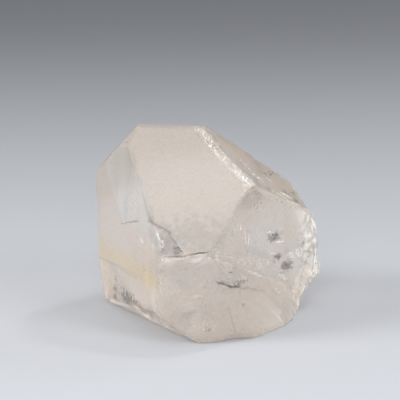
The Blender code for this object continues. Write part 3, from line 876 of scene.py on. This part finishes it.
# Noise: its scale, its detail and its roughness.
GRAIN = (3600.0, 3.0, 0.75)
PATCHES = (260.0, 3.0, 0.55)
GRIT = (2600.0, 2.0, 0.6)
GRAIN_SHADES = {"From Min": 0.30, "From Max": 0.70, "To Min": 0.86, "To Max": 1.08}
PATCH_FROST = {"To Min": 0.75, "To Max": 1.25}
GRIT_STRENGTH = 1.3
GRIT_DEPTH = 0.00006


def noise_node(tree, place, scale, detail, roughness):
    values = {"Scale": scale, "Detail": detail, "Roughness": roughness}
    noise = add_node(tree, "ShaderNodeTexNoise", values)
    wire(tree, (place, "Object", noise, "Vector"))
    return noise


# Clear crystal: the frosting is in the roughness, the pale tint in the skin and the depth.
clear = {"IOR": DANBURITE_IOR, "Transmission Weight": DANBURITE_THROUGH}
danburite, tree, shader, output = new_material("danburite", clear)
place = add_node(tree, "ShaderNodeTexCoord")
frosting = add_node(tree, "ShaderNodeAttribute", attribute_name="frost")
tinting = add_node(tree, "ShaderNodeAttribute", attribute_name="tint")
multiply = {"data_type": "RGBA", "blend_type": "MULTIPLY"}
colour = add_node(tree, "ShaderNodeMix", {"Factor": 1.0, "A": DANBURITE_COLOUR}, **multiply)
shades = add_node(tree, "ShaderNodeMapRange", GRAIN_SHADES)
grained = add_node(tree, "ShaderNodeMix", {"Factor": 1.0}, **multiply)
spread = add_node(tree, "ShaderNodeMapRange", PATCH_FROST)
rough = add_node(tree, "ShaderNodeMath", operation="MULTIPLY")
strength = add_node(tree, "ShaderNodeMath", {1: GRIT_STRENGTH}, operation="MULTIPLY")
bump = add_node(tree, "ShaderNodeBump", {"Distance": GRIT_DEPTH})
absorbing = {"Color": DEPTH_COLOUR, "Density": DEPTH_DENSITY}
absorb = add_node(tree, "ShaderNodeVolumeAbsorption", absorbing)
wire(
    tree,
    (tinting, "Color", colour, "B"),
    (noise_node(tree, place, *GRAIN), "Fac", shades, "Value"),
    (colour, "Result", grained, "A"),
    (shades, "Result", grained, "B"),
    (grained, "Result", shader, "Base Color"),
    (noise_node(tree, place, *PATCHES), "Fac", spread, "Value"),
    (frosting, "Fac", rough, 0),
    (spread, "Result", rough, 1),
    (rough, "Value", shader, "Roughness"),
    (frosting, "Fac", strength, 0),
    (strength, "Value", bump, "Strength"),
    (noise_node(tree, place, *GRIT), "Fac", bump, "Height"),
    (bump, "Normal", shader, "Normal"),
    (absorb, "Volume", output, "Volume"),
)
body.data.materials.append(danburite)
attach(body, "root")
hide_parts("danburite_crystal")

# ---- The dark specks ----
# Tiny flakes of dark mineral that the crystal grew around, lying level with its skin in a few
# clusters. Each cluster is a flat bed at the skin, which the nodes strew with flakes.
# A bed has a middle, the way it faces, and its half widths along and across in millimetres.
SPECK_BEDS = (
    ((9.9, 0.9, 11.3), (0.81, -0.587, 0.0), (1.4, 0.5)),
    ((10.4, 1.6, 8.3), (0.81, -0.587, 0.0), (1.0, 0.4)),
    ((11.7, 3.5, 6.8), (0.81, -0.587, 0.0), (1.2, 0.8)),
    ((14.0, 7.2, 8.6), (0.81, -0.587, 0.0), (0.7, 0.5)),
    ((-8.9, -3.1, 3.9), (-0.932, -0.362, 0.0), (1.6, 0.6)),
    ((-11.3, 2.9, 4.6), (-0.932, -0.362, 0.0), (0.5, 0.7)),
    ((4.3, -8.3, 6.9), (0.3, -0.95, 0.1), (1.6, 0.22)),
    ((2.5, -9.4, 8.2), (0.3, -0.95, 0.1), (0.5, 0.2)),
    ((-2.8, -11.0, 12.4), (-0.089, -0.687, 0.721), (0.6, 0.4)),
    ((6.5, 5.5, 17.0), (0.0, 0.66, 0.75), (2.6, 0.8)),
    ((10.6, 8.0, 13.4), (0.0, 0.66, 0.75), (1.2, 0.7)),
)
BED_SIDES = 14
SPECK_VALUES = {"Density": 1.1e7, "Size": 0.00009, "Seed": 5}
SPECK_LOOK = {"Base Color": (0.055, 0.050, 0.045, 1.0), "Roughness": 0.45}
FLAKE_LEAST = (0.35, 0.30, 0.10)
FLAKE_MOST = (1.60, 1.00, 0.35)
FLAKE_TILT = 0.35


def bed_object(name, points, faces, crowding):
    """A bed for the nodes to strew, and how crowded each of its faces is to be."""
    mesh = bpy.data.meshes.new(name)
    mesh.from_pydata(points, [], faces)
    mesh.attributes.new("crowding", "FLOAT", "FACE").data.foreach_set("value", crowding)
    return put_in_scene(name, mesh)


# The nodes scatter flattened flakes over a bed, each of its own size and turned its own way.
flakes = bpy.data.node_groups.new("strewn_flakes", "GeometryNodeTree")
flakes.interface.new_socket("Geometry", in_out="OUTPUT", socket_type="NodeSocketGeometry")
kinds = {"Geometry": "Geometry", "Density": "Float", "Size": "Float", "Seed": "Int"}
for name, kind in {**kinds, "Material": "Material"}.items():
    flakes.interface.new_socket(name, in_out="INPUT", socket_type="NodeSocket" + kind)
given = add_node(flakes, "NodeGroupInput")
made = add_node(flakes, "NodeGroupOutput")
strew = add_node(flakes, "GeometryNodeDistributePointsOnFaces")
flake = add_node(flakes, "GeometryNodeMeshIcoSphere", {"Subdivisions": 1})
sizes = {"Min": FLAKE_LEAST, "Max": FLAKE_MOST}
shape = add_node(flakes, "FunctionNodeRandomValue", sizes, data_type="FLOAT_VECTOR")
turns = {"Min": (-FLAKE_TILT, -FLAKE_TILT, 0.0), "Max": (FLAKE_TILT, FLAKE_TILT, math.tau)}
turn = add_node(flakes, "FunctionNodeRandomValue", turns, data_type="FLOAT_VECTOR")
crowding = add_node(flakes, "GeometryNodeInputNamedAttribute", data_type="FLOAT")
crowding.inputs["Name"].default_value = "crowding"
crowd = add_node(flakes, "ShaderNodeMath", operation="MULTIPLY")
lay = add_node(flakes, "FunctionNodeRotateRotation", rotation_space="LOCAL")
scale = add_node(flakes, "ShaderNodeVectorMath", operation="SCALE")
place = add_node(flakes, "GeometryNodeInstanceOnPoints")
real = add_node(flakes, "GeometryNodeRealizeInstances")
paint = add_node(flakes, "GeometryNodeSetMaterial")
wire(
    flakes,
    (given, "Geometry", strew, "Mesh"),
    (given, "Density", crowd, 0),
    (crowding, "Attribute", crowd, 1),
    (crowd, "Value", strew, "Density"),
    (given, "Seed", strew, "Seed"),
    (given, "Seed", shape, "Seed"),
    (given, "Seed", turn, "Seed"),
    (shape, "Value", scale, "Vector"),
    (given, "Size", scale, "Scale"),
    (strew, "Points", place, "Points"),
    (flake, "Mesh", place, "Instance"),
    (strew, "Rotation", lay, "Rotation"),
    (turn, "Value", lay, "Rotate By"),
    (lay, "Rotation", place, "Rotation"),
    (scale, "Vector", place, "Scale"),
    (place, "Instances", real, "Geometry"),
    (real, "Geometry", paint, "Geometry"),
    (given, "Material", paint, "Material"),
    (paint, "Geometry", made, "Geometry"),
)


def strewn(bed, name, values, material):
    """A plain mesh object of the flakes that the nodes strew over a bed, which goes."""
    modifier = bed.modifiers.new(name, "NODES")
    modifier.node_group = flakes
    sockets = {item.name: item.identifier for item in flakes.interface.items_tree}
    for label, value in {**values, "Material": material}.items():
        modifier[sockets[label]] = value
    graph = bpy.context.evaluated_depsgraph_get()
    graph.update()
    mesh = bpy.data.meshes.new_from_object(bed.evaluated_get(graph))
    bpy.data.objects.remove(bed)
    mesh.name = name
    return put_in_scene(name, mesh)


bed_points, bed_faces = [], []
for centre, facing, (half_long, half_short) in SPECK_BEDS:
    facing = Vector(facing).normalized()
    along = Vector((0.0, 0.0, 1.0)).cross(facing).normalized()
    across = facing.cross(along)
    middle, _, _, _ = skin_tree.find_nearest(Vector(centre) / 1000.0)
    first = len(bed_points)
    for side in range(BED_SIDES):
        turn = math.tau * side / BED_SIDES
        offset = along * half_long * math.cos(turn) + across * half_short * math.sin(turn)
        bed_points.append(tuple(middle + offset / 1000.0))
    bed_faces.append(tuple(range(first, first + BED_SIDES)))
beds = bed_object("speck_beds", bed_points, bed_faces, [1.0] * len(bed_faces))
dark_mineral, *_ = new_material("dark_mineral", SPECK_LOOK)
specks = strewn(beds, "dark_specks", SPECK_VALUES, dark_mineral)
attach(specks, "root")

# ---- The white chips and painted glints ----
# Tiny white chips of crushed crystal, a hair proud of the skin, where it is bruised or where a crack
# comes up to it; crowded on the rim and the bright bevel, they are also painted glints. Each streak of
# them is a ribbon laid on the skin, strewn by the same nodes. A streak has the way that it runs and its
# half width, in millimetres, and how crowded it is.
CHIP_AND_GLINT_STREAKS = (
    (((6.00, -4.85, 13.3), (6.03, -4.80, 12.0), (6.05, -4.77, 10.9)), 0.06, 1.0),
    (((6.42, -4.30, 12.9), (6.43, -4.28, 11.3)), 0.09, 1.3),
    (((6.48, -4.20, 10.3), (6.49, -4.18, 10.0)), 0.08, 1.0),
    (((4.97, -6.32, 14.7), (4.98, -6.28, 13.8)), 0.05, 1.0),
    (((5.40, -5.72, 14.6), (5.42, -5.68, 13.6)), 0.06, 1.1),
    (((4.50, -6.95, 14.4), (4.52, -6.93, 14.0)), 0.05, 0.8),
    (((8.84, -0.93, 12.2), (9.54, 0.05, 12.1)), 0.05, 1.0),
    (((10.2, 0.95, 10.45), (11.4, 2.6, 10.15)), 0.10, 1.3),
    (((9.28, -0.32, 9.15), (10.1, 0.87, 9.0)), 0.05, 0.8),
    (((11.9, 3.3, 8.1), (13.0, 4.8, 7.5)), 0.40, 0.50),
    (((13.2, 4.9, 8.4), (13.9, 5.5, 7.2)), 0.40, 0.60),
    (((14.2, 6.0, 11.6), (14.6, 6.4, 10.2), (14.5, 6.1, 8.8)), 0.30, 0.45),
    (((7.0, -3.5, 9.0), (9.6, 0.2, 7.6)), 0.50, 0.06),
    (((5.3, -6.0, 9.6), (7.3, -3.0, 9.0)), 0.45, 0.10),
    (((10.7, 1.7, 5.9), (12.0, 3.4, 4.5)), 0.35, 0.20),
    (((6.3, -5.2, 8.1), (7.4, -3.8, 7.3), (8.4, -2.4, 6.5)), 0.05, 0.7),
    (
        ((15.5, 7.6, 12.2), (15.7, 7.7, 11.0), (15.95, 7.4, 9.6), (16.1, 7.1, 8.3), (16.0, 6.8, 7.3)),
        0.46, 2.4,
    ),
    (((16.0, 6.8, 7.3), (15.9, 6.5, 6.2), (15.6, 5.9, 5.2), (15.2, 5.2, 4.2)), 0.40, 2.2),
    (((15.2, 5.2, 4.2), (15.0, 7.0, 2.8), (14.4, 6.0, 1.8)), 0.26, 1.4),
    (((14.9, 6.8, 11.2), (15.1, 7.0, 10.4), (15.0, 6.7, 9.4)), 0.10, 0.6),
    (((2.3, -0.2, 22.9), (4.3, -2.1, 21.25), (6.6, -4.1, 19.4)), 0.42, 0.42),
    (((4.6, -2.5, 20.9), (6.7, -4.1, 19.35)), 0.25, 0.7),
    (((0.3, 2.6, 25.1), (2.3, -0.1, 22.95)), 0.30, 0.16),
    (((5.4, 3.8, 21.3), (7.0, 2.0, 19.8), (8.9, 3.6, 18.2)), 0.60, 0.12),
    (((8.4, 5.8, 18.85), (10.1, 6.0, 17.4)), 0.35, 0.22),
    (((10.9, 4.6, 16.6), (12.6, 6.3, 15.2)), 0.10, 0.9),
    (((9.6, 2.4, 17.3), (12.0, 4.2, 15.6)), 0.16, 0.35),
    (((11.7, 3.5, 15.7), (12.6, 4.9, 15.1), (13.8, 6.7, 14.3)), 0.09, 0.9),
    (((-7.9, -5.2, 12.4), (-7.2, -6.4, 11.9)), 0.10, 0.8),
    (((-6.4, -8.0, 12.6), (-5.6, -9.4, 11.9)), 0.10, 0.5),
)
CHIP_AND_GLINT_STEP = 0.00025
CHIP_AND_GLINT_TAPER = 0.15  # how narrow a streak is at its ends, before the root
CHIP_AND_GLINT_LIFT = 0.000004
CHIP_AND_GLINT_VALUES = {"Density": 6.0e7, "Size": 0.00009, "Seed": 9}
# White, for crushed crystal and for painted glints.
CHIP_AND_GLINT_LOOK = {"Base Color": (0.96, 0.945, 0.92, 1.0), "Roughness": 0.30}

ribbon_points, ribbon_faces, ribbon_crowding = [], [], []
for path, half_width, crowding in CHIP_AND_GLINT_STREAKS:
    path = [Vector(point) / 1000.0 for point in path]
    samples = []
    for start, end in zip(path[:-1], path[1:]):
        steps = max(2, round((end - start).length / CHIP_AND_GLINT_STEP))
        samples += [(start.lerp(end, step / steps), end - start) for step in range(steps)]
    samples.append((path[-1], path[-1] - path[-2]))
    for number, (sample, way) in enumerate(samples):
        _, facing, _, _ = skin_tree.find_nearest(sample)
        side = facing.cross(way).normalized()
        taper = max(CHIP_AND_GLINT_TAPER, math.sin(math.pi * number / (len(samples) - 1))) ** 0.5
        for sign in (-1.0, 1.0):
            beside = sample + side * sign * taper * half_width / 1000.0
            edge, facing, _, _ = skin_tree.find_nearest(beside)
            ribbon_points.append(tuple(edge + facing * CHIP_AND_GLINT_LIFT))
        if number:
            last = len(ribbon_points) - 1
            ribbon_faces.append((last - 3, last - 1, last, last - 2))
            ribbon_crowding.append(crowding)
ribbons = bed_object("chip_and_glint_ribbons", ribbon_points, ribbon_faces, ribbon_crowding)
chip_and_glint_material, *_ = new_material("crushed_crystal_and_glints", CHIP_AND_GLINT_LOOK)
chips_and_glints = strewn(ribbons, "white_chips_and_glints", CHIP_AND_GLINT_VALUES, chip_and_glint_material)
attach(chips_and_glints, "root")

# ---- The light ----
# Large soft boxes stand round the stone, the strongest on the left, then right and in front, with
# weaker ones overhead and behind. Two small ones put the sparks on the bevel and the right dome.
SOFT_BOXES = {  # the place, what it is aimed at, width, height and watts
    "top_box": ((0.0, -0.02, 0.34), (0.0, 0.0, 0.0), 0.30, 0.26, 0.20),
    "left_box": ((-0.44, -0.12, 0.24), (0.0, 0.0, 0.01), 0.22, 0.22, 1.62),
    "right_box": ((0.40, -0.32, 0.26), (0.0, 0.0, 0.01), 0.22, 0.22, 1.00),
    "front_box": ((-0.06, -0.48, 0.30), (0.0, 0.0, 0.01), 0.30, 0.20, 0.82),
    "spark_box": ((0.145, 0.155, 0.32), (0.0, 0.0, 0.015), 0.035, 0.035, 0.16),
    "back_box": ((0.34, 0.30, 0.24), (0.0, 0.0, 0.01), 0.16, 0.16, 0.22),
    "right_spark": ((0.42, 0.11, 0.11), (0.0, 0.0, 0.015), 0.035, 0.035, 0.15),
}
ROOM_COLOUR = (0.90, 0.94, 1.0, 1.0)
ROOM_STRENGTH = 0.41


def look(obj, way):
    """Turns a lamp or a camera to look the given way."""
    obj.rotation_mode = "QUATERNION"
    obj.rotation_quaternion = way.to_track_quat("-Z", "Y")


for name, (place, aim, width, height, power) in SOFT_BOXES.items():
    light = bpy.data.lights.new(name, "AREA")
    light.shape = "RECTANGLE"
    light.size = width
    light.size_y = height
    light.energy = power
    lamp = put_in_scene(name, light)
    lamp.location = place
    lamp.visible_camera = False
    look(lamp, Vector(aim) - Vector(place))

room = bpy.data.worlds.new("studio")
bpy.context.scene.world = room
room.use_nodes = True
room.node_tree.nodes["Background"].inputs["Color"].default_value = ROOM_COLOUR
room.node_tree.nodes["Background"].inputs["Strength"].default_value = ROOM_STRENGTH
bpy.context.scene.view_settings.view_transform = "Standard"

# ---- The camera ----
# A long lens, a little above the stone, looking at the frosted front dome. Its square frame takes
# in the whole stone, with some of the paper round it.
CAMERA_DISTANCE = 0.260
CAMERA_ELEVATION = math.radians(12.74)
FRAME_WIDTH = 400 / 7.47 / 1000  # what the square frame spans at the stone
SENSOR = 36.0

camera_data = bpy.data.cameras.new("camera")
camera_data.sensor_width = SENSOR
camera_data.lens = SENSOR * CAMERA_DISTANCE / FRAME_WIDTH
camera_data.clip_start = 0.01
camera_data.clip_end = 20.0
camera = put_in_scene("camera", camera_data)
back = Vector((0.0, -math.cos(CAMERA_ELEVATION), math.sin(CAMERA_ELEVATION)))
camera.location = Vector((0.0, 0.0, CENTRE_HEIGHT)) + back * CAMERA_DISTANCE
look(camera, -back)
bpy.context.scene.camera = camera
